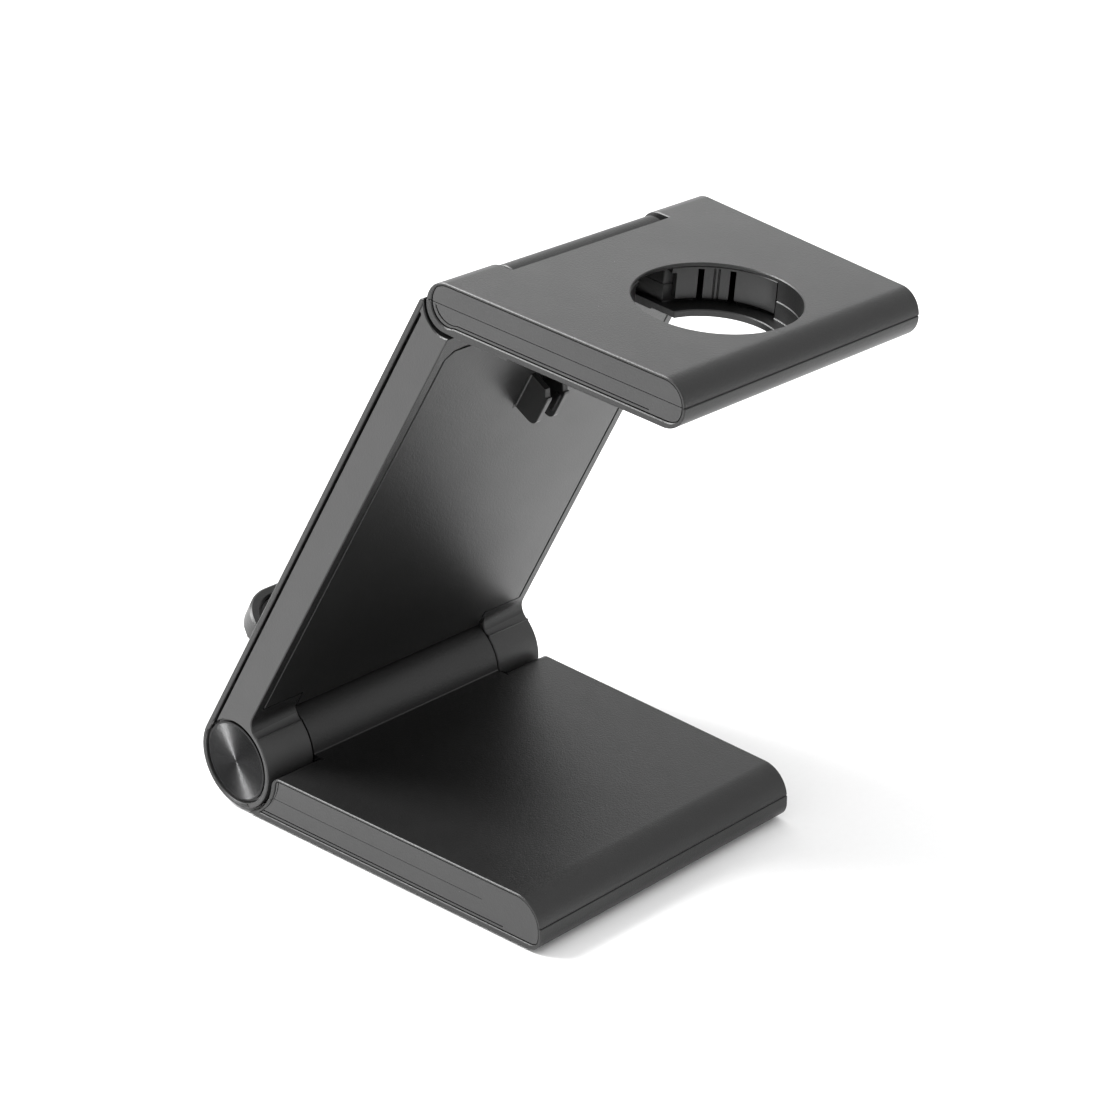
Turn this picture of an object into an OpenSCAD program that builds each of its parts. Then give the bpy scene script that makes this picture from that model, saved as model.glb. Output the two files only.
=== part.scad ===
// Folding phone stand with a top plate that holds a watch charging puck.
// Three plates in a Z: base, leaning arm and top plate, with a fold-up phone ledge on the arm.
// +Z is up, +Y runs from the hinges towards the free edges of the base and the top plate,
// X is the hinge direction. The origin is on the desk, under the middle of the rubber pad.

/* [Lower hinge] */
// Width of the stand at the lower hinge
hinge_w = 73; // [70:1:80]
// Outer radius of the lower hinge barrel
barrel_r = 9.45; // [9.2:0.05:9.7]
// Height of the lower hinge axis above the desk
hinge_z = 10.2; // [10.1:0.1:10.6]
// Half length of the base's barrel, between the arm's two knuckles
base_barrel_half = 24.6; // [23:0.1:25]
// Radius of the lower hinge shaft
lower_shaft_r = 3; // [2.5:0.1:3.2]
// Radius of the spun metal end discs
disc_r = 8.1; // [7.5:0.1:8.2]

/* [Base] */
// Distance from the lower hinge axis to the free edge of the base
base_len = 78.2; // [74:0.2:84]
// Width of the base at its free edge
base_nose_w = 66.6; // [64:0.2:72]
// Height of the base's underside above the desk
base_z0 = 0.5; // [0.4:0.1:0.6]
// Height of the base's top face above the desk
base_z1 = 10.8; // [10.6:0.1:10.8]
// Height of the seam between the base's two shells
base_seam_z = 5.6; // [5:0.1:6]

/* [Arm] */
// Lean of the arm above the desk in degrees
arm_angle = 60; // [50:1:75]
// Distance between the two hinge axes along the arm
arm_len = 117.9; // [110:0.1:125]
// Distance of the arm's inner face from the lower hinge axis
arm_in = 0.9; // [0.9:0.1:1.2]
// Distance of the upper hinge axis from the plane of the lower one
upper_off = 4.0; // [3.8:0.1:4.4]
// Width of the stand at the upper hinge
upper_w = 64.3; // [60:0.1:70]
// Thickness of the arm's front panel
front_t = 1.05; // [0.9:0.05:1.2]
// Thickness of the arm's back cover
cover_t = 1.4; // [1.2:0.1:1.6]

/* [Top plate] */
// Tilt of the top plate at rest in degrees, nose down
top_tilt = 5.5; // [0:0.5:8]
// Thickness of the top plate
top_t = 8.9; // [8.7:0.1:9.1]
// Distance from the upper hinge axis to the free edge of the top plate
top_len = 50.4; // [49:0.2:54]
// Width of the top plate at its free edge
top_nose_w = 58.6; // [56:0.2:64]
// Half length of the arm's barrel inside the top plate's notch
arm_barrel_half = 18.3; // [18:0.1:19.4]
// Radius of the upper hinge shaft
upper_shaft_r = 2; // [1.6:0.1:2.1]

/* [Puck seat] */
// Radius of the hole that the charging puck drops into
puck_r = 14.3; // [14.1:0.05:14.5]
// Distance from the upper hinge axis to the centre of the hole
puck_y = 30.6; // [30:0.2:33]
// Radius of the opening in the flange under the puck
flange_r = 11.5; // [10:0.5:12]
// Thickness of the flange under the puck
flange_t = 1.3; // [1:0.1:1.6]
// Width of the cable neck in the underside
neck_w = 5.7; // [5:0.1:6.4]

/* [Phone ledge] */
// Half width of the ledge
ledge_half = 21; // [18:0.5:21]
// Distance that the ledge stands out from the arm
ledge_out = 16.8; // [14:0.2:17]
// Thickness of the ledge
ledge_t = 4.7; // [4:0.1:4.7]
// Distance of the ledge's underside from the lower hinge axis along the arm
ledge_low = 6.9; // [6.9:0.1:8]

/* [Hidden] */
$fn = 64;

// Colours of the plastics, rubbers and metals
shell_grey = [0.16, 0.16, 0.165];
panel_grey = [0.24, 0.24, 0.245];
rubber_black = [0.06, 0.06, 0.06];
steel = [0.6, 0.6, 0.62];
spun_metal = [0.42, 0.42, 0.44];

// Running gap between the plates and the barrels next to them
hinge_gap = 0.65;
// Gap between the ends of neighbouring barrels
barrel_gap = 0.3;
// Place of the lower hinge axis behind the middle of the rubber pad
hinge_y = -41;
// How far each plate's side leans inwards towards its free edge, in degrees
base_taper = atan((hinge_w - base_nose_w) / 2 / base_len);
arm_taper = atan((hinge_w - upper_w) / 2 / arm_len);
top_taper = atan((upper_w - top_nose_w) / 2 / top_len);
// Half thickness of the top plate, which is also its barrel radius
top_r = top_t / 2;
// Radius of the seat in the arm that the top plate's round rear turns in
seat_r = top_r + 0.75;
// Radius of the arm's barrel at the upper hinge, a little less than the top plate's
arm_barrel_r = top_r - 0.4;
// Height of the seam between the top plate's two shells above its mid-plane
top_seam_z = 0.4;
// Width and depth of the groove along a seam between two shells
seam_w = 0.12;
seam_depth = 0.35;
// Width of the rim above and in front of a side panel, and the extra width behind and below it
rim_w = 0.55;
rim_extra = 0.6;
// Depth of the recess for a side panel
panel_depth = 1.1;
// Width of the gap between a side panel and the rim in front and above, and behind and below
panel_gap = 0.09;
panel_gap_wide = 0.3;
// Pivot of the ledge, along the arm and from the plane of the lower hinge axis
ledge_a = ledge_low + ledge_t - 1.55;
ledge_o = 6.2;
// Radius of the round around the ledge's pivot
ledge_round = 2;
// Radius of the ledge's pin
ledge_pin_r = 1;
// Floor of the pocket that the ledge folds into
pocket_o = ledge_o - ledge_round - 0.3;
// Start and end of the ledge pocket along the arm
pocket_a0 = ledge_low - 0.3;
pocket_a1 = ledge_a + barrel_r + ledge_out - ledge_o + 0.4;
// Front end of the arm's front panel, next to the top plate
tip_a = arm_len - 2.1;
// Radial clearance of a shaft that turns in a bushing
running = 0.05;
// Half width of the cut that clears the arm's barrel in the top plate
notch_half = arm_barrel_half + 1.1;
// Depth below the top face at which the puck clip starts and ends
clip_top = 0.75;
clip_bottom = 6.5;
// Wall thickness of the puck clip
clip_t = 1.4;
// Slots and jaws of the puck clip, as angles from the nose direction
jaw_from = 86;
jaw_to = 159;
slot_angles = [120.1, 141.8];
finger_angle = 131;
// Places of the screw bosses
base_bosses = [[24, 20], [24, 68]];
arm_bosses = [[21, 40], [21, 98]];
top_bosses = [[24, 10.5], [22.5, 44]];

// ---- helpers ----

// Puts children that are drawn from the lower hinge into the part's frame
module in_base() {
    translate([0, hinge_y, 0]) children();
}

// Local frame of the arm: Y runs up the arm, Z points out of its front face
module on_arm() {
    in_base() translate([0, 0, hinge_z]) rotate([arm_angle, 0, 0]) children();
}

// Local frame of the top plate: Y runs to its free edge, Z points out of its top face
module on_top() {
    on_arm() translate([0, arm_len, upper_off]) rotate([-arm_angle - top_tilt, 0, 0]) children();
}

// Extrudes a Y-Z outline from x0 to x1
module yz_extrude(x0, x1) {
    translate([x0, 0, 0]) rotate([90, 0, 90]) linear_extrude(x1 - x0) children();
}

// The same part of an outline on both sides, from x0 to x1 and mirrored
module both_sides() {
    children();
    mirror([1, 0, 0]) children();
}

// Cylinder along X from x0 to x1, centred at y and z
module x_rod(x0, x1, y, z, r) {
    translate([x0, y, z]) rotate([0, 90, 0]) cylinder(r = r, h = x1 - x0);
}

// Plan of a plate that narrows towards its free edge
module plan(half0, half1, y_from, y_flat, y_to) {
    linear_extrude(60, center = true)
        polygon([
            [-half0, y_from], [half0, y_from], [half0, y_flat],
            [half1, y_to], [-half1, y_to], [-half0, y_flat]
        ]);
}

// Takes one corner off a square outline and leaves a round of radius r
module corner_cut(y, z, turn, r) {
    translate([y, z]) rotate(turn) difference() {
        translate([-1, -1]) square(r + 1);
        translate([r, r]) circle(r);
    }
}

// Slab outline with its own radius at each corner, from the lower rear one round to the upper rear one
module slab_outline(y0, y1, z0, z1, r) {
    difference() {
        translate([y0, z0]) square([y1 - y0, z1 - z0]);
        corner_cut(y0, z0, 0, r[0]);
        corner_cut(y1, z0, 90, r[1]);
        corner_cut(y1, z1, 180, r[2]);
        corner_cut(y0, z1, 270, r[3]);
    }
}

// Hexagonal nut on the X axis line at y and z
module x_nut(x0, x1, y, z, r, bore) {
    difference() {
        translate([x0, y, z]) rotate([0, 90, 0]) cylinder(r = r, h = x1 - x0, $fn = 6);
        x_rod(x0 - 1, x1 + 1, y, z, bore);
    }
}

// Ring along X
module x_ring(x0, x1, y, z, r_out, r_in) {
    difference() {
        x_rod(x0, x1, y, z, r_out);
        x_rod(x0 - 1, x1 + 1, y, z, r_in);
    }
}

// Countersunk-style screw that points up, with its head's underside at z = 0
module screw(shank_r, length, head_r, head_t) {
    difference() {
        union() {
            cylinder(r = shank_r, h = length);
            translate([0, 0, -head_t]) cylinder(r = head_r, h = head_t);
        }
        translate([0, 0, -head_t - 0.1]) cylinder(r = head_r * 0.45, h = head_t * 0.6, $fn = 6);
    }
}

// Runs children at each place and at its mirror image
module at_bosses(places) {
    for (p = places) {
        for (side = [-1, 1]) {
            translate([side * p[0], p[1], 0]) children();
        }
    }
}

// ---- base ----

base_rear_y = barrel_r + hinge_gap;
base_floor_z = 2.9;
base_ceiling_z = base_z1 - 1.8;
pad_top_z = 1.3;

// Side profile: concave behind, where it follows the barrel, and round at the free edge
module base_outline(inset = 0) {
    hollow_r = barrel_r + hinge_gap;
    round_r = 2.5;
    round_z = base_z1 - round_r;
    reach = hollow_r + round_r;
    round_y = sqrt(pow(reach, 2) - pow(round_z - hinge_z, 2));
    difference() {
        slab_outline(
            3.6 + 1.5 * inset, base_len - inset, base_z0 + inset, base_z1 - inset,
            [0.01, max(3.3 - inset, 0.5), max(5.8 - inset, 0.5), 0.01]
        );
        translate([0, hinge_z]) circle(hollow_r + inset);
        difference() {
            polygon([
                [0, hinge_z], [round_y, round_z], [round_y, base_z1 + 1], [0, base_z1 + 1]
            ]);
            translate([round_y, round_z]) circle(round_r - inset);
        }
    }
}

// What is left of an outline after it is moved forward and up, so that its rim is wider behind and below
module shifted_outline(shift) {
    intersection() {
        children();
        translate([shift, shift]) children();
    }
}

module base_slab() {
    half_nose = hinge_w / 2 - (base_len + 1) * tan(base_taper);
    intersection() {
        yz_extrude(-hinge_w, hinge_w) base_outline();
        plan(hinge_w / 2, half_nose, -5, 0, base_len + 1);
    }
}

// Frame of one side of the base, with X out of the side face
module base_side() {
    both_sides() translate([hinge_w / 2, 0, 0]) rotate([0, 0, base_taper]) children();
}

module base_side_recess() {
    base_side() yz_extrude(-panel_depth, 2) shifted_outline(rim_extra) base_outline(rim_w);
}

// Groove along the seam between the shells, around the free edge and the rear rims
module base_seam_groove() {
    intersection() {
        yz_extrude(-hinge_w, hinge_w) difference() {
            translate([0, base_seam_z - seam_w / 2]) square([base_len + 1, seam_w]);
            base_outline(seam_depth);
        }
        translate([-hinge_w, base_rear_y - 2, 0]) cube([2 * hinge_w, base_len, 20]);
    }
}

// Outline of the base's barrel and the block that joins it to the top face
module base_barrel_outline() {
    translate([0, hinge_z]) circle(barrel_r);
    translate([0, base_z0 + 0.3]) square([base_rear_y + 4, base_z1 - base_z0 - 0.3]);
}

module base_cavity() {
    translate([-28, 16, base_floor_z]) cube([56, 54, base_ceiling_z - base_floor_z]);
}

module base_pad_body(grow = 0) {
    pad_half = 27 + grow;
    translate([0, 41, 0]) linear_extrude(pad_top_z)
        difference() {
            square([2 * pad_half, 62 + 2 * grow], center = true);
            for (turn = [0, 90, 180, 270]) {
                rotate(turn) {
                    w = (turn % 180 == 0) ? pad_half : 31 + grow;
                    h = (turn % 180 == 0) ? 31 + grow : pad_half;
                    corner_cut(-w, -h, 0, 6);
                }
            }
        }
}

module base_lower_shell() {
    color(shell_grey) in_base() difference() {
        intersection() {
            base_slab();
            translate([-hinge_w, -20, 0]) cube([2 * hinge_w, 120, base_seam_z]);
        }
        translate([-base_barrel_half - barrel_gap, -20, 0])
            cube([2 * (base_barrel_half + barrel_gap), 20 + base_rear_y + 4.2, 20]);
        difference() {
            base_cavity();
            at_bosses(base_bosses) cylinder(r = 2.6, h = 20);
        }
        base_pad_body(0.25);
        at_bosses(base_bosses) cylinder(r = 2, h = 2.4);
        at_bosses(base_bosses) cylinder(r = 1.05, h = 20);
        base_side_recess();
        base_seam_groove();
    }
}

module base_upper_shell() {
    color(shell_grey) in_base() difference() {
        union() {
            intersection() {
                base_slab();
                translate([-hinge_w, -20, base_seam_z]) cube([2 * hinge_w, 120, 20]);
            }
            yz_extrude(-base_barrel_half, base_barrel_half) base_barrel_outline();
        }
        difference() {
            base_cavity();
            at_bosses(base_bosses) cylinder(r = 2.6, h = 20);
        }
        at_bosses(base_bosses) cylinder(r = 0.9, h = base_ceiling_z - 0.3);
        base_pad_body(0.25);
        x_rod(-hinge_w, hinge_w, 0, hinge_z, lower_shaft_r);
        base_side_recess();
        base_seam_groove();
    }
}

// Panels with a fine groove just inside their rear and lower edges and a seam along the middle
module base_side_panels() {
    color(panel_grey) in_base() base_side() difference() {
        yz_extrude(-panel_depth, -0.1) shifted_outline(rim_extra + panel_gap_wide - panel_gap)
            base_outline(rim_w + panel_gap);
        yz_extrude(-0.5, 1) difference() {
            shifted_outline(rim_extra + 0.65) base_outline(rim_w + 0.1);
            shifted_outline(rim_extra + 0.9) base_outline(rim_w + 0.1);
            translate([20, 4]) square(90);
            translate([base_len - 9, -1]) square(30);
        }
        translate([-0.22, 0, 6.1]) cube([1, base_len - 14, 0.1]);
    }
}

module base_pad() {
    color(rubber_black) in_base() base_pad_body();
}

module base_screws() {
    color(steel) in_base() at_bosses(base_bosses)
        translate([0, 0, 2.4]) screw(0.9, 6, 1.9, 1);
}

module ballast_plate() {
    color(steel) in_base() translate([-20.5, 18, base_floor_z]) difference() {
        cube([41, 50, 5]);
        for (y = [12, 38]) {
            translate([20.5, y, -1]) cylinder(r = 3, h = 8);
        }
    }
}

module lower_hinge_shaft() {
    end = hinge_w / 2 - 1.7;
    color(steel) in_base() x_rod(-end, end, 0, hinge_z, lower_shaft_r);
}

module lower_hinge_nuts() {
    color(steel) in_base() both_sides()
        x_nut(hinge_w / 2 - 4.2, hinge_w / 2 - 2, 0, hinge_z, 5, lower_shaft_r);
}

// ---- arm ----

arm_half_end = hinge_w / 2 - (arm_len + 6) * tan(arm_taper);
knuckle_in = base_barrel_half + barrel_gap;
// Where the side of the arm's knuckle is recessed for the end disc
disc_seat_r = disc_r + 0.4;
disc_seat_depth = 0.95;
// Thickness of the front panel's skin where it wraps the barrel
wrap_t = 0.75;
// Where the groove beside the front panel ends
groove_end = 113.1;
// Pocket in the knuckle that holds the washers and the nut
washer_x = hinge_w / 2 - 5.5;
fillet_r = 3;
// Where the back cover starts inside the arm's edge, and where it ends along the arm
cover_inset = 2.25;
cover_end = 109.6;
fillet_a = sqrt(pow(barrel_r + fillet_r, 2) - pow(fillet_r - arm_in, 2));

module arm_plan() {
    plan(hinge_w / 2, arm_half_end, -14, 0, arm_len + 6);
}

// Side profile of the arm's plate, from o0 to o1, from the barrel to the upper hinge
module arm_plate_outline(o0, o1) {
    difference() {
        translate([0, o0]) square([tip_a, o1 - o0]);
        translate([arm_len, upper_off]) circle(seat_r);
        corner_cut(tip_a, barrel_r, 180, 1.2);
    }
}

// Web between the barrel and the inner face, with its concave round
module arm_fillet_outline() {
    difference() {
        translate([0, arm_in - fillet_r]) square([fillet_a, fillet_r + 0.5]);
        translate([fillet_a, arm_in - fillet_r]) circle(fillet_r);
    }
}

// Sector between two angles, wide enough to cut a ring of the barrel
module sector(from, to) {
    steps = 8;
    polygon(concat([[0, 0]], [for (i = [0:steps]) 20 * [
        cos(from + (to - from) * i / steps),
        sin(from + (to - from) * i / steps)
    ]]));
}

module wrap_outline(r_in, r_out) {
    intersection() {
        difference() {
            circle(r_out);
            circle(r_in);
        }
        sector(90, 234);
    }
}

// Pocket that the folded ledge lies in
module ledge_pocket() {
    translate([-ledge_half - 0.3, pocket_a0, pocket_o])
        cube([2 * ledge_half + 0.6, pocket_a1 - pocket_a0, 20]);
}

// Outline of the back cover, grown by a gap, with its upper corners cut off
module cover_plan(grow) {
    half_low = hinge_w / 2 - cover_inset - 14 * tan(arm_taper) + grow;
    half_high = hinge_w / 2 - cover_inset - cover_end * tan(arm_taper) + grow;
    tongue = knuckle_in - 0.9 + grow;
    polygon([
        [-half_low, 14 - grow], [-tongue, 14 - grow], [-tongue, 6],
        [tongue, 6], [tongue, 14 - grow], [half_low, 14 - grow],
        [half_high, cover_end - 1.6], [half_high - 1.6, cover_end + grow],
        [-half_high + 1.6, cover_end + grow], [-half_high, cover_end - 1.6]
    ]);
}

module arm_frame() {
    panel_o = barrel_r - front_t;
    color(panel_grey) on_arm() difference() {
        union() {
            intersection() {
                arm_plan();
                union() {
                    yz_extrude(-hinge_w, hinge_w) arm_plate_outline(arm_in, panel_o);
                    both_sides() yz_extrude(knuckle_in, hinge_w) {
                        difference() {
                            circle(barrel_r);
                            wrap_outline(barrel_r - wrap_t, barrel_r + 1);
                            translate([-0.01, panel_o]) square(10);
                        }
                        arm_fillet_outline();
                        square([barrel_r, panel_o]);
                    }
                }
            }
            // barrel of the upper hinge and the web that carries it
            x_rod(-arm_barrel_half, arm_barrel_half, arm_len, upper_off, arm_barrel_r);
            translate([-arm_barrel_half, tip_a - 10, arm_in])
                cube([2 * arm_barrel_half, 12.1, upper_off + arm_barrel_r - arm_in]);
        }
        // clearance around the base's barrel
        x_rod(-knuckle_in, knuckle_in, 0, 0, barrel_r + 0.4);
        ledge_pocket();
        // groove under the edge of the front panel
        both_sides() translate([hinge_w / 2, 0, 0]) rotate([0, 0, arm_taper])
            translate([-1, 2, panel_o - 0.6]) cube([3, groove_end - 2, 2]);
        // recess for the back cover and the pocket under it
        translate([0, 0, arm_in - 1]) linear_extrude(1 + cover_t) cover_plan(0.3);
        translate([-25, 32, arm_in]) cube([50, 72, 5.6]);
        at_bosses(arm_bosses) cylinder(r = 0.8, h = 20);
        // disc seat, nut pocket and bushing bore in each knuckle
        both_sides() {
            x_rod(hinge_w / 2 - disc_seat_depth, hinge_w, 0, 0, disc_seat_r);
            x_rod(washer_x, hinge_w, 0, 0, 6.2);
            x_rod(knuckle_in - 1, hinge_w, 0, 0, lower_shaft_r + 1);
        }
        x_rod(-hinge_w, hinge_w, arm_len, upper_off, upper_shaft_r);
        x_rod(-23.8, 23.8, ledge_a, ledge_o, ledge_pin_r);
    }
}

module arm_front_panel() {
    color(shell_grey) on_arm() difference() {
        intersection() {
            arm_plan();
            union() {
                difference() {
                    yz_extrude(-hinge_w, hinge_w) arm_plate_outline(barrel_r - front_t, barrel_r);
                    // clear of the web of the arm's upper barrel, and of the base's barrel
                    translate([-arm_barrel_half - 0.01, tip_a - 10.01, 0])
                        cube([2 * arm_barrel_half + 0.02, 20, upper_off + arm_barrel_r]);
                    x_rod(-knuckle_in, knuckle_in, 0, 0, barrel_r + 0.4);
                }
                both_sides() yz_extrude(knuckle_in, hinge_w) wrap_outline(barrel_r - wrap_t, barrel_r);
            }
        }
        ledge_pocket();
        translate([0, 0, barrel_r - 0.6]) linear_extrude(3) phone_pad_plan(0.05);
        at_bosses(arm_bosses) cylinder(r = 0.7, h = barrel_r - 0.75);
    }
}

module phone_pad_plan(grow) {
    difference() {
        translate([-23 - grow, 44 - grow]) square([46 + 2 * grow, 58 + 2 * grow]);
        corner_cut(-23 - grow, 44 - grow, 0, 5);
        corner_cut(23 + grow, 44 - grow, 90, 5);
        corner_cut(23 + grow, 102 + grow, 180, 5);
        corner_cut(-23 - grow, 102 + grow, 270, 5);
    }
}

module phone_pad() {
    color(rubber_black) on_arm() translate([0, 0, barrel_r - 0.6]) linear_extrude(0.8) phone_pad_plan(0);
}

module arm_back_cover() {
    color(panel_grey) on_arm() difference() {
        translate([0, 0, arm_in]) linear_extrude(cover_t) cover_plan(0);
        x_rod(-knuckle_in, knuckle_in, 0, 0, barrel_r + 0.4);
        translate([0, hook_a0 + hook_len / 2, 0]) cube([7.1, hook_len + 0.1, 8], center = true);
    }
}

hook_a0 = 85.7;
hook_len = 8.4;
hook_h = 5.3;
hook_gap = 3.2;
hook_t = 1.2;

// Outline of one hook, seen along X: rounded at its free end, cut back at its upper corner
module hook_outline() {
    difference() {
        slab_outline(hook_a0, hook_a0 + hook_len, arm_in - hook_h, arm_in + 1.2, [1.6, 1.8, 0.01, 0.01]);
        translate([hook_a0 + hook_len, arm_in - hook_h]) rotate(35) square([1.6, 2.4], center = true);
    }
}

// Two opposed hooks on one small base plate, which is set into the back cover
module cable_hooks() {
    color(panel_grey) on_arm() {
        translate([-3.5, hook_a0, arm_in]) cube([7, hook_len, cover_t]);
        both_sides() {
            yz_extrude(hook_gap / 2, hook_gap / 2 + hook_t) hook_outline();
            // lip that keeps the cable in
            translate([hook_gap / 2 - 0.4, hook_a0 + 2, arm_in - hook_h + 0.6]) cube([0.5, 4, 0.9]);
        }
    }
}

module arm_core_plate() {
    color(steel) on_arm() difference() {
        translate([-24.5, 33, arm_in + 4.4]) cube([49, 70, 1.2]);
        at_bosses(arm_bosses) cylinder(r = 1, h = 20);
    }
}

module arm_screws() {
    color(steel) on_arm() at_bosses(arm_bosses)
        translate([0, 0, arm_in + 4.4]) screw(0.7, 3.1, 1.6, 0.8);
}

module lower_hinge_bushings() {
    color("silver") on_arm() both_sides()
        x_ring(knuckle_in, washer_x, 0, 0, lower_shaft_r + 1, lower_shaft_r + running);
}

module lower_spring_washers() {
    color(steel) on_arm() both_sides() {
        x_ring(washer_x, washer_x + 0.6, 0, 0, 5.8, lower_shaft_r + running);
        x_ring(washer_x + 0.62, washer_x + 1.2, 0, 0, 5.2, lower_shaft_r + running);
    }
}

// Spun metal disc with a dished edge, in the end of a knuckle
module end_disc() {
    x0 = hinge_w / 2 - disc_seat_depth;
    translate([x0, 0, 0]) rotate([0, 90, 0]) rotate_extrude()
        polygon([[0, 0], [disc_r, 0], [disc_r, 0.45], [disc_r - 0.3, 0.7], [0, 0.7]]);
}

module end_disc_right() {
    color(spun_metal) on_arm() end_disc();
}

module end_disc_left() {
    color(spun_metal) on_arm() mirror([1, 0, 0]) end_disc();
}

module upper_hinge_shaft() {
    color(steel) on_arm() x_rod(-27.2, 27.2, arm_len, upper_off, upper_shaft_r);
}

module upper_hinge_nuts() {
    color(steel) on_arm() both_sides()
        x_nut(25.1, 26.9, arm_len, upper_off, 3, upper_shaft_r);
}

module ledge_pin() {
    color(steel) on_arm() x_rod(-23.8, 23.8, ledge_a, ledge_o, ledge_pin_r);
}

// ---- phone ledge ----

// Plan of the ledge: straight sides at the arm and large round outer corners
module ledge_plan(inset) {
    half = ledge_half - inset;
    out = barrel_r + ledge_out - inset;
    r = 8 - inset;
    difference() {
        translate([-half, ledge_o]) square([2 * half, out - ledge_o]);
        corner_cut(-half, out, 270, r);
        corner_cut(half, out, 180, r);
    }
}

// Draws in the ledge's plan, from height a0 to a1 along the arm
module ledge_layer(a0, a1) {
    translate([0, a1, 0]) rotate([90, 0, 0]) linear_extrude(a1 - a0) children();
}

module phone_ledge() {
    a1 = ledge_low + ledge_t;
    color(shell_grey) on_arm() difference() {
        union() {
            ledge_layer(ledge_low, a1) intersection() {
                ledge_plan(0);
                translate([-40, ledge_o + 0.7]) square([80, 40]);
            }
            ledge_layer(ledge_a - 1.5, a1) translate([-ledge_half, ledge_o])
                square([2 * ledge_half, 1.5]);
            x_rod(-ledge_half, ledge_half, ledge_a, ledge_o, ledge_round);
        }
        // tray behind the raised outer lip
        ledge_layer(a1 - 1.3, a1 + 1) intersection() {
            ledge_plan(2.2);
            translate([-40, barrel_r - 0.4]) square([80, 40]);
        }
        x_rod(-ledge_half - 1, ledge_half + 1, ledge_a, ledge_o, ledge_pin_r + running);
        both_sides() x_rod(ledge_half - 3, ledge_half + 1, ledge_a, ledge_o, 1.5);
    }
}

module ledge_mat() {
    a1 = ledge_low + ledge_t;
    color(rubber_black) on_arm() ledge_layer(a1 - 1.3, a1 - 0.7) intersection() {
        ledge_plan(2.3);
        translate([-40, barrel_r - 0.3]) square([80, 40]);
    }
}

module ledge_bushings() {
    color("silver") on_arm() both_sides()
        x_ring(ledge_half - 3, ledge_half, ledge_a, ledge_o, 1.5, ledge_pin_r + running);
}

// ---- top plate ----

// The underside steps up by this much in front of the hinge block
top_step = 0.25;
top_step_y = 14;
top_skin = 1.6;
clip_out = puck_r + clip_t;

module top_outline(inset = 0, step_y = top_step_y) {
    nose = [max(4.1 - inset, 0.5), max(4.4 - inset, 0.5)];
    union() {
        circle(top_r - inset);
        translate([0, -top_r + inset]) square([step_y, top_t - 2 * inset]);
        translate([0, -top_r + top_step + inset]) square([20, top_t - top_step - 2 * inset]);
        slab_outline(
            19, top_len - inset, -top_r + top_step + inset, top_r - inset,
            [0.01, nose[0], nose[1], 0.01]
        );
    }
}

module top_slab() {
    half_nose = upper_w / 2 - (top_len + 1) * tan(top_taper);
    half_rear = upper_w / 2 + 6 * tan(top_taper);
    intersection() {
        yz_extrude(-upper_w, upper_w) top_outline();
        plan(half_rear, half_nose, -6.01, -6, top_len + 1);
    }
}

module top_side() {
    both_sides() translate([upper_w / 2, 0, 0]) rotate([0, 0, top_taper]) children();
}

module top_side_recess() {
    top_side() yz_extrude(-panel_depth, 2) shifted_outline(rim_extra) top_outline(rim_w, 0.1);
}

// Groove along the seam between the shells
module top_seam_groove() {
    yz_extrude(-upper_w, upper_w) difference() {
        translate([-10, top_seam_z - seam_w / 2]) square([top_len + 12, seam_w]);
        top_outline(seam_depth);
    }
}

// Space that the arm's barrel and web turn in
module notch() {
    translate([-notch_half, -20, -10]) cube([2 * notch_half, 20, 20]);
    x_rod(-notch_half, notch_half, 0, 0, top_r + 0.2);
    translate([-notch_half, -1, -6]) cube([2 * notch_half, 4, 3]);
    translate([-notch_half, 0, 4]) cube([2 * notch_half, 2.2, 2]);
}

// Bores for the bushings and pockets for the washers and nuts
module knuckle_bores() {
    both_sides() {
        x_rod(notch_half - 1, 24.1, 0, 0, upper_shaft_r + 0.8);
        x_rod(24, 28.2, 0, 0, 3.3);
    }
}

// Ring sector around the puck seat, from z0 to z1 and from angle a to angle b on both sides
module jaw_sector(r_in, r_out, z0, z1, a, b) {
    translate([0, puck_y, z0]) linear_extrude(z1 - z0) both_sides() intersection() {
        difference() {
            circle(r_out);
            circle(r_in);
        }
        polygon(concat([[0, 0]], [for (i = [0:6]) 30 * [sin(a + (b - a) * i / 6), cos(a + (b - a) * i / 6)]]));
    }
}

// Passage for the puck's cable, from the seat towards the hinge
module neck(width, z0, z1) {
    translate([-width / 2, 8.6, z0]) cube([width, puck_y - 8.6, z1 - z0]);
}

module top_cavity(z0, z1) {
    difference() {
        translate([-26.5, 7.5, z0]) cube([53, 39, z1 - z0]);
        translate([0, puck_y, z0 - 1]) cylinder(r = clip_out + 1.2, h = z1 - z0 + 2);
        translate([-5.2, 0, z0 - 1]) cube([10.4, puck_y, z1 - z0 + 2]);
        at_bosses(top_bosses) translate([0, 0, z0 - 1]) cylinder(r = 2.3, h = z1 - z0 + 2);
    }
}

module top_upper_shell() {
    color(shell_grey) on_top() difference() {
        intersection() {
            top_slab();
            translate([-50, -20, top_seam_z]) cube([100, 100, 10]);
        }
        notch();
        knuckle_bores();
        top_cavity(-1, top_r - top_skin);
        translate([0, puck_y, -1]) cylinder(r = puck_r, h = 20);
        jaw_sector(puck_r - 1, clip_out, -1, top_r - clip_top, jaw_from, 180);
        for (angle = slot_angles) {
            jaw_sector(puck_r, clip_out + 2, -1, top_r - top_skin, angle - 3, angle + 3);
        }
        neck(8, -1, top_r - top_skin);
        at_bosses(top_bosses) translate([0, 0, -1]) cylinder(r = 0.8, h = 1 + top_r - 0.9);
        top_side_recess();
        top_seam_groove();
    }
}

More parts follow.
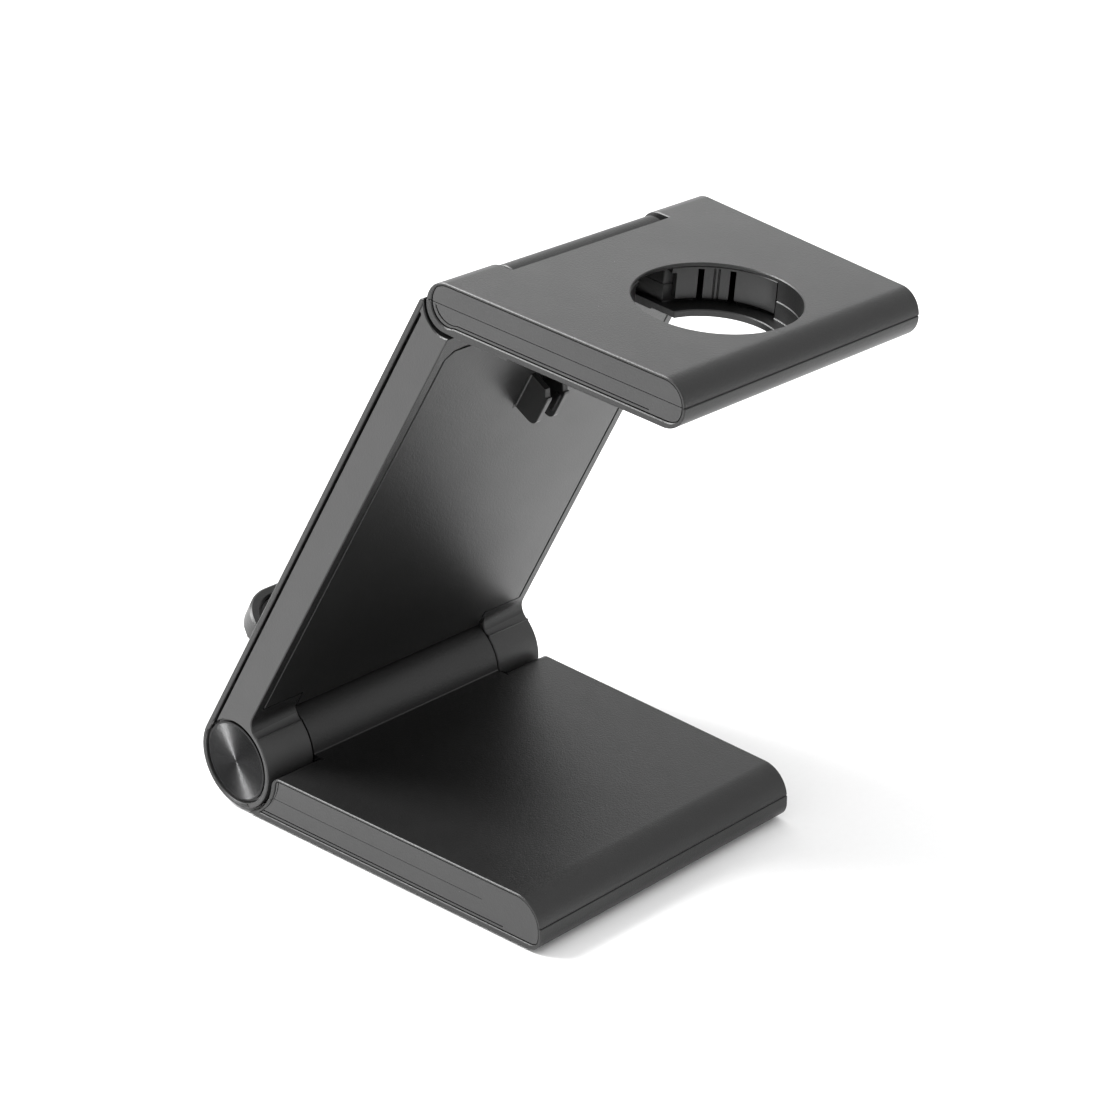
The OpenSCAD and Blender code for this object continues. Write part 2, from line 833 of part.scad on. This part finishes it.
module top_lower_shell() {
    floor_z = -top_r + top_step + flange_t;
    color(shell_grey) on_top() difference() {
        intersection() {
            top_slab();
            translate([-50, -20, -10]) cube([100, 100, 10 + top_seam_z]);
        }
        notch();
        knuckle_bores();
        top_cavity(floor_z, 1);
        translate([0, puck_y, -20]) cylinder(r = flange_r, h = 40);
        translate([0, puck_y, floor_z]) cylinder(r = puck_r, h = 20);
        jaw_sector(puck_r - 1, clip_out, floor_z, 1, jaw_from, 180);
        for (angle = slot_angles) {
            jaw_sector(puck_r, clip_out + 2, floor_z, 1, angle - 3, angle + 3);
        }
        neck(neck_w, -20, 1);
        neck(8, floor_z, 1);
        at_bosses(top_bosses) translate([0, 0, -20]) cylinder(r = 1.6, h = 20 + floor_z - 0.3);
        at_bosses(top_bosses) translate([0, 0, -20]) cylinder(r = 0.85, h = 30);
        top_side_recess();
        top_seam_groove();
    }
}

module top_side_panels() {
    color(panel_grey) on_top() top_side() difference() {
        yz_extrude(-panel_depth, -0.1) shifted_outline(rim_extra + panel_gap_wide - panel_gap)
            top_outline(rim_w + panel_gap, 0.1);
        yz_extrude(-0.5, 1) difference() {
            shifted_outline(rim_extra + 0.6) top_outline(rim_w + 0.1, 0.1);
            shifted_outline(rim_extra + 0.8) top_outline(rim_w + 0.1, 0.1);
            translate([-10, 0]) square(90);
            translate([top_len - 7, -10]) square(20);
        }
        translate([-0.4, -6, top_seam_z - seam_w / 2]) cube([1, top_len + 6, seam_w]);
    }
}

// Two jaws with a sprung finger each, between two slots
module puck_clip() {
    z1 = top_r - clip_top;
    z0 = top_r - clip_bottom;
    slot = 4.1;
    color(panel_grey) on_top() difference() {
        union() {
            jaw_sector(puck_r, clip_out - 0.05, z0, z1, jaw_from + 0.5, jaw_to);
            jaw_sector(puck_r, clip_out - 0.05, z1 - 0.9, z1, jaw_from + 0.5, jaw_to + 4);
        }
        for (angle = slot_angles) {
            jaw_sector(puck_r - 1, clip_out + 1, z0 - 1, z1 - 0.45, angle - slot / 2, angle + slot / 2);
        }
        // fine grooves beside the rib on each finger
        for (side = [-1, 1]) {
            jaw_sector(
                puck_r - 1, puck_r + 0.35, z0 - 1, z1 - 0.3,
                finger_angle + side * 1.5 - 0.45, finger_angle + side * 1.5 + 0.45
            );
        }
    }
}

module top_screws() {
    floor_z = -top_r + top_step + flange_t;
    color(steel) on_top() at_bosses(top_bosses)
        translate([0, 0, floor_z - 0.3]) screw(0.8, 5.8, 1.5, 0.8);
}

module upper_hinge_bushings() {
    color("silver") on_top() both_sides()
        x_ring(notch_half, 24, 0, 0, upper_shaft_r + 0.8, upper_shaft_r + running);
}

module upper_spring_washers() {
    color(steel) on_top() both_sides() {
        x_ring(24, 24.45, 0, 0, 3.2, upper_shaft_r + running);
        x_ring(24.47, 24.95, 0, 0, 3, upper_shaft_r + running);
    }
}

base_lower_shell();
base_upper_shell();
base_side_panels();
base_pad();
base_screws();
ballast_plate();
lower_hinge_shaft();
lower_hinge_nuts();
arm_frame();
arm_front_panel();
arm_back_cover();
cable_hooks();
phone_pad();
arm_core_plate();
arm_screws();
lower_hinge_bushings();
lower_spring_washers();
end_disc_right();
end_disc_left();
upper_hinge_shaft();
upper_hinge_nuts();
ledge_pin();
phone_ledge();
ledge_mat();
ledge_bushings();
top_upper_shell();
top_lower_shell();
top_side_panels();
puck_clip();
top_screws();
upper_hinge_bushings();
upper_spring_washers();
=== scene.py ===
# %% [markdown]
# # A folding phone stand, finished in Blender
#
# The stand is three flat plates hinged in a Z. The base lies on the desk, the arm leans
# over it, and the top plate has a round hole for a watch charging puck. All the shapes
# are real parts made in CAD. This lesson loads them, eases their edges, and gives every
# surface the finish that the moulder or the metal shop would give it.

# %% Load the CAD parts
import math

import bmesh
import bpy
from mathutils import Matrix, Vector


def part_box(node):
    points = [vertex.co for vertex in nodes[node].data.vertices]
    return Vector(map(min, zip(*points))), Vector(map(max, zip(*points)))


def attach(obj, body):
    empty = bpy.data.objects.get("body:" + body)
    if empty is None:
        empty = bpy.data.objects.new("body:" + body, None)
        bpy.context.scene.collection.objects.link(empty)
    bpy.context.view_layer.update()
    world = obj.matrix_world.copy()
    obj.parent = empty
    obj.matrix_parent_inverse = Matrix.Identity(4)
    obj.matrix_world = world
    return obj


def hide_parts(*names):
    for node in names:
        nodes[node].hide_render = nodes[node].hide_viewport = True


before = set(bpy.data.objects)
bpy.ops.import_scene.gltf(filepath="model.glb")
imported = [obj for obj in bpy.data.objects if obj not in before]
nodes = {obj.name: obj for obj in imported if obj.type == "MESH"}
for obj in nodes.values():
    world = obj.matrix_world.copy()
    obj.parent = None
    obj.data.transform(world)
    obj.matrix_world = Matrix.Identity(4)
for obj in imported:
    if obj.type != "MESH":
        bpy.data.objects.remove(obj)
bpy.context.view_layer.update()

# %% [markdown]
# ## Sizes for the eye
#
# Blender works in metres and a phone stand is full of tenths of a millimetre. One
# constant keeps the numbers readable.

# %% Millimetres
MM = 0.001


def millimetres(value):
    return value * MM


# %% [markdown]
# ## A small language for finishes
#
# A finish is a graph of shader nodes. Wiring one by hand takes many lines, so a `Wire`
# holds one output socket and lets Python's own signs build the Math nodes: `grain + flecks`
# or `grain * 0.3`. A `Finish` owns one material, and its `node` method makes any other
# node from its type, its settings and what goes into its sockets.

# %% Wires that can be added and multiplied
class Wire:
    """An output socket that Python's signs turn into Math nodes."""

    def __init__(self, finish, socket):
        self.finish = finish
        self.socket = socket

    def _math(self, operation, first, second):
        return self.finish.node("ShaderNodeMath", {"operation": operation}, {0: first, 1: second})

    def __add__(self, other):
        return self._math("ADD", self, other)

    def __radd__(self, other):
        return self._math("ADD", other, self)

    def __mul__(self, other):
        return self._math("MULTIPLY", self, other)

    def __rmul__(self, other):
        return self._math("MULTIPLY", other, self)

    def __lt__(self, other):
        return self._math("LESS_THAN", self, other)

    def __gt__(self, other):
        return self._math("GREATER_THAN", self, other)


# %% A finish owns one material
class Finish:
    """One material: its nodes, its shader and the coordinates that its patterns follow."""

    def __init__(self, name):
        self.material = bpy.data.materials.new(name)
        self.material.use_nodes = True
        self.tree = self.material.node_tree
        self.shader = self.tree.nodes["Principled BSDF"]
        self.place = self.node("ShaderNodeTexCoord", {}, {}, "Object")

    def node(self, kind, settings, sockets, output=0):
        made = self.tree.nodes.new(kind)
        for name, value in settings.items():
            setattr(made, name, value)
        for name, value in sockets.items():
            if isinstance(value, Wire):
                self.tree.links.new(value.socket, made.inputs[name])
            else:
                made.inputs[name].default_value = value
        return Wire(self, made.outputs[output])

    def noise(self, size, detail=3.0, stretch=(1, 1, 1)):
        """Cloudy grey pattern whose blobs are about `size` millimetres across."""
        place = self.place
        if stretch != (1, 1, 1):
            place = self.node(
                "ShaderNodeVectorMath", {"operation": "MULTIPLY"}, {0: place, 1: stretch}
            )
        sockets = {"Vector": place, "Scale": 1 / millimetres(size), "Detail": detail}
        return self.node("ShaderNodeTexNoise", {}, sockets)

    def ramp(self, wire, low, high):
        """Stretches the range from low to high over 0 to 1."""
        return self.node(
            "ShaderNodeMapRange", {"clamp": True}, {"Value": wire, "From Min": low, "From Max": high}
        )

    def blend(self, amount, first, second):
        """Mixes two colours, each a wire or three numbers, by a wire."""
        factor_in, first_in, second_in, colour_out = 0, 6, 7, 2
        colours = [c if isinstance(c, Wire) else (*c, 1) for c in (first, second)]
        sockets = {factor_in: amount, first_in: colours[0], second_in: colours[1]}
        return self.node("ShaderNodeMix", {"data_type": "RGBA"}, sockets, colour_out)

    def feed(self, socket, value):
        if isinstance(value, Wire):
            self.tree.links.new(value.socket, self.shader.inputs[socket])
        else:
            self.shader.inputs[socket].default_value = value

    def relief(self, height, depth):
        """Raises the surface by up to `depth` millimetres where height is 1."""
        sockets = {"Height": height, "Distance": millimetres(depth)}
        self.feed("Normal", self.node("ShaderNodeBump", {}, sockets))


# %% [markdown]
# ## Dust
#
# Dark plastic shows every speck of dust, and a stand with none looks like a drawing. A
# Voronoi pattern gives each cell one random point and one random colour. A speck is
# drawn only where the point is very near, and only in the few cells whose colour is
# bright, so specks are sparse and no two are alike.

# %% Specks of dust
def dust(finish, spacing, size, share):
    """Mask of specks `size` mm across, one in a share of the cells `spacing` mm apart."""
    cells = {"Vector": finish.place, "Scale": 1 / millimetres(spacing)}
    near = finish.node("ShaderNodeTexVoronoi", {}, cells, "Distance")
    colour = finish.node("ShaderNodeTexVoronoi", {}, cells, "Color")
    pick = finish.node("ShaderNodeSeparateColor", {}, {"Color": colour}, "Red")
    reach = size / spacing / 2
    return (near < reach) * (pick < share)


# %% [markdown]
# ## Moulded plastic
#
# The shells are dark plastic from a spark-eroded mould. The mould leaves a fine, even
# grain that scatters highlights into a soft sheen. Three scales make it: grain of a
# fifth of a millimetre in the relief, cloudy patches a few millimetres wide in the
# gloss, and very slight changes of tone where hands have polished it. The side strips
# and the arm's frame are a paler grade than the shells.

# %% Moulded plastic in several grades
def moulded_plastic(name, tone, gloss, grain_depth, specks, grain_size=0.22):
    """Grained plastic: tone is its grey, gloss its mean roughness, grain_depth in mm."""
    finish = Finish(name)
    grain = finish.noise(grain_size, detail=2.0)
    patches = finish.noise(6.0, detail=4.0)
    smears = finish.noise(22.0, detail=3.0, stretch=(1.0, 0.35, 1.0))
    tone_shift, dust_grey, fleck_height = 0.18, (0.34, 0.34, 0.33), 0.8
    colour = finish.blend(patches, [tone * (1 - tone_shift)] * 3, [tone * (1 + tone_shift)] * 3)
    flecks = dust(finish, 5.0, 0.16, specks) + dust(finish, 2.6, 0.09, specks)
    colour = finish.blend(finish.ramp(flecks, 0.0, 1.0), colour, dust_grey)
    finish.feed("Base Color", colour)
    finish.feed("Roughness", gloss - 0.05 + patches * 0.05 + smears * 0.06 + grain * 0.04)
    finish.relief(grain + flecks * fleck_height, grain_depth)
    return finish.material


shell_plastic = moulded_plastic("shell_plastic", 0.006, 0.38, 0.045, 0.22, 0.28)
panel_plastic = moulded_plastic("panel_plastic", 0.026, 0.40, 0.03, 0.25, 0.4)
cover_plastic = moulded_plastic("cover_plastic", 0.006, 0.36, 0.03, 0.2, 0.4)
clip_plastic = moulded_plastic("clip_plastic", 0.006, 0.30, 0.004, 0.10)
print("plastics:", shell_plastic.name, panel_plastic.name, cover_plastic.name, clip_plastic.name)

# %% [markdown]
# ## Silicone rubber
#
# The pads are matt silicone with a fine even stipple, and they hold a little lint.

# %% Silicone rubber
def silicone(name):
    finish = Finish(name)
    stipple = finish.node(
        "ShaderNodeTexVoronoi", {}, {"Vector": finish.place, "Scale": 1 / millimetres(0.5)}, "Distance"
    )
    wear = finish.noise(9.0, detail=5.0)
    lint = dust(finish, 3.0, 0.18, 0.5)
    colour = finish.blend(wear, (0.010, 0.010, 0.010), (0.020, 0.020, 0.021))
    finish.feed("Base Color", finish.blend(lint, colour, (0.22, 0.22, 0.21)))
    finish.feed("Roughness", 0.62 + wear * 0.18)
    finish.relief(stipple, 0.03)
    return finish.material


soft_rubber = silicone("soft_rubber")

# %% [markdown]
# ## Metals
#
# Shafts, nuts and screws are plated steel: bright, with faint turning marks and a little
# patchy oxide. The end discs are darker anodised metal, spun in a lathe, and their rings
# are modelled further on.

# %% Plated steel
def plated_steel(name):
    finish = Finish(name)
    marks = finish.noise(0.18, detail=3.0, stretch=(9.0, 1.0, 1.0))
    oxide = finish.noise(4.0, detail=5.0)
    finish.feed("Base Color", finish.blend(oxide, (0.42, 0.42, 0.43), (0.62, 0.62, 0.63)))
    finish.feed("Metallic", 1.0)
    finish.feed("Roughness", 0.24 + oxide * 0.14 + marks * 0.06)
    finish.relief(marks, 0.006)
    return finish.material


steel = plated_steel("plated_steel")

# %% Natural acetal for the sleeves
def acetal(name):
    finish = Finish(name)
    cloud = finish.noise(3.0, detail=4.0)
    finish.feed("Base Color", finish.blend(cloud, (0.55, 0.54, 0.50), (0.68, 0.67, 0.63)))
    finish.feed("Roughness", 0.30 + cloud * 0.12)
    finish.relief(finish.noise(0.3), 0.005)
    return finish.material


bushing_plastic = acetal("bushing_plastic")

# %% Spun metal
def spun_metal(name):
    finish = Finish(name)
    haze = finish.noise(5.0, detail=4.0)
    marks = finish.noise(0.5, detail=3.0)
    colour = finish.blend(haze * 0.6 + marks * 0.4, (0.020, 0.020, 0.020), (0.028, 0.028, 0.029))
    finish.feed("Base Color", finish.blend(dust(finish, 3.0, 0.12, 0.25), colour, (0.5, 0.5, 0.5)))
    finish.feed("Metallic", 1.0)
    finish.feed("Roughness", 0.30 + haze * 0.06 + marks * 0.04)
    finish.relief(marks, 0.002)
    return finish.material


disc_metal = spun_metal("spun_metal")
print("metals:", steel.name, disc_metal.name)

# %% [markdown]
# ## Which piece has which finish
#
# Each part takes one finish. The list reads like the moulder's drawing.

# %% Give every part its finish
finishes = {
    shell_plastic: [
        "base_lower_shell", "base_upper_shell", "arm_front_panel",
        "top_upper_shell", "top_lower_shell", "phone_ledge",
    ],
    panel_plastic: [
        "base_side_panels", "arm_frame", "top_side_panels",
    ],
    cover_plastic: ["arm_back_cover"],
    clip_plastic: ["cable_hooks", "puck_clip"],
    soft_rubber: ["base_pad", "phone_pad", "ledge_mat"],
    steel: [
        "base_screws", "arm_screws", "top_screws", "ballast_plate", "arm_core_plate",
        "lower_hinge_shaft", "lower_hinge_nuts", "lower_spring_washers",
        "upper_hinge_shaft", "upper_hinge_nuts", "upper_spring_washers", "ledge_pin",
    ],
    bushing_plastic: ["lower_hinge_bushings", "upper_hinge_bushings", "ledge_bushings"],
}
for finish, names in finishes.items():
    for name in names:
        part = nodes[name]
        part.data.materials.clear()
        part.data.materials.append(finish)
# The arm's frame shows the paler grade on its sides and barrels, and the dark one elsewhere.
frame_mesh = nodes["arm_frame"].data
frame_mesh.materials.append(shell_plastic)
lower_hinge = Vector((0, millimetres(-41), millimetres(10.2)))
barrel_reach = millimetres(9.7)
for polygon in frame_mesh.polygons:
    from_hinge = nodes["arm_frame"].matrix_world @ polygon.center - lower_hinge
    faces_sideways = abs(polygon.normal.x) >= 0.5
    if not faces_sideways and from_hinge.yz.length > barrel_reach:
        polygon.material_index = 1
covered = sum(len(names) for names in finishes.values())
print("finished parts:", covered, "of", len(nodes))

# %% [markdown]
# ## The spun end discs
#
# A lathe tool cuts one fine ring after another into the face of each disc. The rings
# lean the surface in and out, never sideways, so a lamp lights two fans that face each
# other across the centre. Noise can't do that. The disc is turned here as on a lathe: a
# profile with fine sawtooth grooves on its face is spun about the hinge axis. Each new disc
# stands for the plain CAD disc and takes up the same room.

# %% Turn the end discs
def turned_disc(name, node, side, body):
    """Disc with ringed face towards `side` (+1 or -1 along X), in the place of a CAD node."""
    low, high = (Vector(corner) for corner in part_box(node))
    centre = (low + high) / 2
    gap, sink = millimetres(0.08), millimetres(0.1)
    radius = (high.y - low.y) / 2 - gap
    face = (high.x if side > 0 else low.x) - side * sink
    back = low.x if side > 0 else high.x
    pitch, lean, rim, turns = millimetres(0.16), math.radians(31), millimetres(0.3), 160
    depth = pitch / 2 * math.tan(lean)
    rings = int((radius - rim) / pitch)
    outline = [(pitch / 2 * step, face - side * depth * (step % 2)) for step in range(2 * rings + 1)]
    rim_drop = rim * 0.1
    outline += [(radius - rim, face), (radius, face - side * rim_drop), (radius, back), (0.0, back)]
    vertices, faces = [], []
    for turn in range(turns):
        angle = 2 * math.pi * turn / turns
        for r, x in outline:
            vertices.append((x, centre.y + r * math.cos(angle), centre.z + r * math.sin(angle)))
    count = len(outline)
    for turn in range(turns):
        here, there = turn * count, (turn + 1) % turns * count
        for index in range(count - 1):
            faces.append((here + index, there + index, there + index + 1, here + index + 1))
    mesh = bpy.data.meshes.new(name)
    mesh.from_pydata(vertices, [], faces)
    disc = bpy.data.objects.new(name, mesh)
    bpy.context.scene.collection.objects.link(disc)
    shape = bmesh.new()
    shape.from_mesh(mesh)
    bmesh.ops.remove_doubles(shape, verts=shape.verts, dist=1e-7)
    bmesh.ops.recalc_face_normals(shape, faces=shape.faces)
    shape.to_mesh(mesh)
    shape.free()
    mesh.materials.append(disc_metal)
    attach(disc, body)
    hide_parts(node)
    return disc


discs = [
    turned_disc(f"spun_disc_{label}", f"end_disc_{label}", side, "arm")
    for side, label in ((1, "right"), (-1, "left"))
]
print("turned discs:", ", ".join(f"{disc.name} ({len(disc.data.vertices)} points)" for disc in discs))

# %% [markdown]
# ## Eased edges
#
# No moulded edge is sharp. A chamfer of one or two tenths of a millimetre catches the
# light as a thin bright line, and that line is what makes a plate look solid. A Bevel
# modifier adds it without touching the CAD mesh. Weld first joins the corners that the
# file stores apart. Edge Split then keeps each chamfer flat, so that all of it shines at
# once, and Weighted Normal stops the small faces from tinting the big ones.

# %% Ease the edges of the parts that show
def ease_edges(part, width):
    """Cuts a chamfer `width` mm wide on each sharp edge and keeps it flat."""
    weld = part.modifiers.new("join_corners", "WELD")
    weld.merge_threshold = millimetres(0.002)
    bevel = part.modifiers.new("eased_edges", "BEVEL")
    bevel.width = millimetres(width)
    bevel.segments = 1
    bevel.limit_method = "ANGLE"
    bevel.angle_limit = math.radians(34)
    bevel.use_clamp_overlap = False
    bevel.miter_outer = "MITER_ARC"
    split = part.modifiers.new("crisp_chamfers", "EDGE_SPLIT")
    split.split_angle = math.radians(24)
    normals = part.modifiers.new("flat_faces", "WEIGHTED_NORMAL")
    normals.weight = 80


chamfer_width = {
    "base_upper_shell": 0.16, "base_lower_shell": 0.12, "arm_front_panel": 0.15,
    "arm_frame": 0.18, "arm_back_cover": 0.12, "cable_hooks": 0.12,
    "top_upper_shell": 0.16, "top_lower_shell": 0.16, "puck_clip": 0.08,
    "phone_ledge": 0.4,
    "base_pad": 0.25, "phone_pad": 0.15, "ledge_mat": 0.1,
}
for name, width in chamfer_width.items():
    for polygon in nodes[name].data.polygons:
        polygon.use_smooth = True
    ease_edges(nodes[name], width)
print("eased parts:", len(chamfer_width))

# %% [markdown]
# ## The table
#
# The stand is lit on a pale, seamless table. The table is a large sheet that curves up
# behind the object, so no horizon line shows.

# %% A seamless pale table
def seamless_table():
    front, back, rise, top, half_width, steps = 2.4, 2.2, 1.6, 3.0, 3.0, 16
    profile = [(-front, 0.0), (back - rise, 0.0)]
    for step in range(1, steps + 1):
        turn = math.pi / 2 * step / steps
        profile.append((back - rise + rise * math.sin(turn), rise - rise * math.cos(turn)))
    profile.append((back, top))
    away = Vector((-0.6499, -0.6345, 0)).normalized()
    across = Vector((away.y, -away.x, 0))
    vertices, faces = [], []
    for side in (-1, 1):
        for run, height in profile:
            vertices.append(away * run + across * side * half_width + Vector((0, 0, height)))
    count = len(profile)
    for index in range(count - 1):
        faces.append((index, index + 1, count + index + 1, count + index))
    mesh = bpy.data.meshes.new("table")
    mesh.from_pydata([tuple(v) for v in vertices], [], faces)
    for polygon in mesh.polygons:
        polygon.use_smooth = True
    table = bpy.data.objects.new("table", mesh)
    bpy.context.scene.collection.objects.link(table)
    paper = Finish("pale_paper")
    fibre = paper.noise(1.2, detail=4.0)
    paper.feed("Base Color", paper.blend(fibre, (0.90, 0.90, 0.90), (0.93, 0.93, 0.93)))
    paper.feed("Roughness", 0.75 + fibre * 0.1)
    paper.feed("Specular IOR Level", 0.2)
    mesh.materials.append(paper.material)
    return table


table = seamless_table()

# %% [markdown]
# ## Light
#
# Dark satin plastic is drawn by what it mirrors. A white tent gives the broad sheen. The
# key lamp stands to one side and behind, and draws the bright chamfers and the shadow. A
# studio also hides some lamps from some parts with flags. Light linking does that here:
# one lamp brightens the top plate, one the chamfers, one the discs and one the table.

# %% A white tent and soft lamps
def white_tent(strength):
    world = bpy.data.worlds.new("white_tent")
    world.use_nodes = True
    background = world.node_tree.nodes["Background"]
    background.inputs["Color"].default_value = (1, 1, 1, 1)
    background.inputs["Strength"].default_value = strength
    bpy.context.scene.world = world


def soft_lamp(name, place, target, size, power):
    data = bpy.data.lights.new(name, "AREA")
    data.shape = "SQUARE"
    data.size = size
    data.energy = power
    lamp = bpy.data.objects.new(name, data)
    bpy.context.scene.collection.objects.link(lamp)
    lamp.location = place
    lamp.rotation_euler = (Vector(target) - Vector(place)).to_track_quat("-Z", "Y").to_euler()
    return lamp


def light_only(lamp, parts):
    """Keeps a lamp to some parts, as a flag on a stand does in a studio."""
    group = bpy.data.collections.new(f"lit_by_{lamp.name}")
    for part in parts:
        group.objects.link(part)
    lamp.light_linking.receiver_collection = group


key_place, key_target, key_size = (0.55, -0.80, 0.95), (0, 0, 0.06), 0.5
white_tent(0.98)
soft_lamp("key_lamp", key_place, key_target, key_size, 26)
back_lamp = soft_lamp("back_lamp", (-1.05, -1.02, 0.75), (0, 0, 0.10), 0.9, 2.2)
light_only(back_lamp, [nodes["top_upper_shell"], nodes["top_lower_shell"]])
disc_lamp = soft_lamp("disc_lamp", (0.25, -0.95, 0.06), (0, 0, 0.01), 0.3, 20)
light_only(disc_lamp, discs)
edge_lamp = soft_lamp("edge_lamp", key_place, key_target, key_size, 9)
light_only(edge_lamp, [nodes["top_upper_shell"], nodes["base_upper_shell"]])
table_lamp = soft_lamp("table_lamp", (0.0, 0.0, 1.6), (0, 0, 0), 2.0, 11)
light_only(table_lamp, [table])

# %% [markdown]
# ## Camera
#
# A long lens from above and to one side keeps the plates' edges almost parallel.

# %% Camera
camera_data = bpy.data.cameras.new("camera")
camera_data.lens = 95.68
camera_data.sensor_width = 36
camera_data.sensor_height = 36
camera_data.sensor_fit = "HORIZONTAL"
camera_data.clip_start = 0.01
camera = bpy.data.objects.new("camera", camera_data)
bpy.context.scene.collection.objects.link(camera)
azimuth, elevation = math.radians(134.316), math.radians(24.735)
backward = Vector((
    math.sin(azimuth) * math.cos(elevation),
    -math.cos(azimuth) * math.cos(elevation),
    math.sin(elevation),
))
right = Vector((0, 0, 1)).cross(backward).normalized()
up = backward.cross(right)
axes = Matrix((right, up, backward)).transposed().to_4x4()
camera.matrix_world = Matrix.Translation((0.3430, 0.3419, 0.2787)) @ axes
bpy.context.scene.camera = camera
bpy.context.scene.view_settings.view_transform = "Standard"
print("camera at (mm):", [round(v / MM, 1) for v in camera.matrix_world.translation])
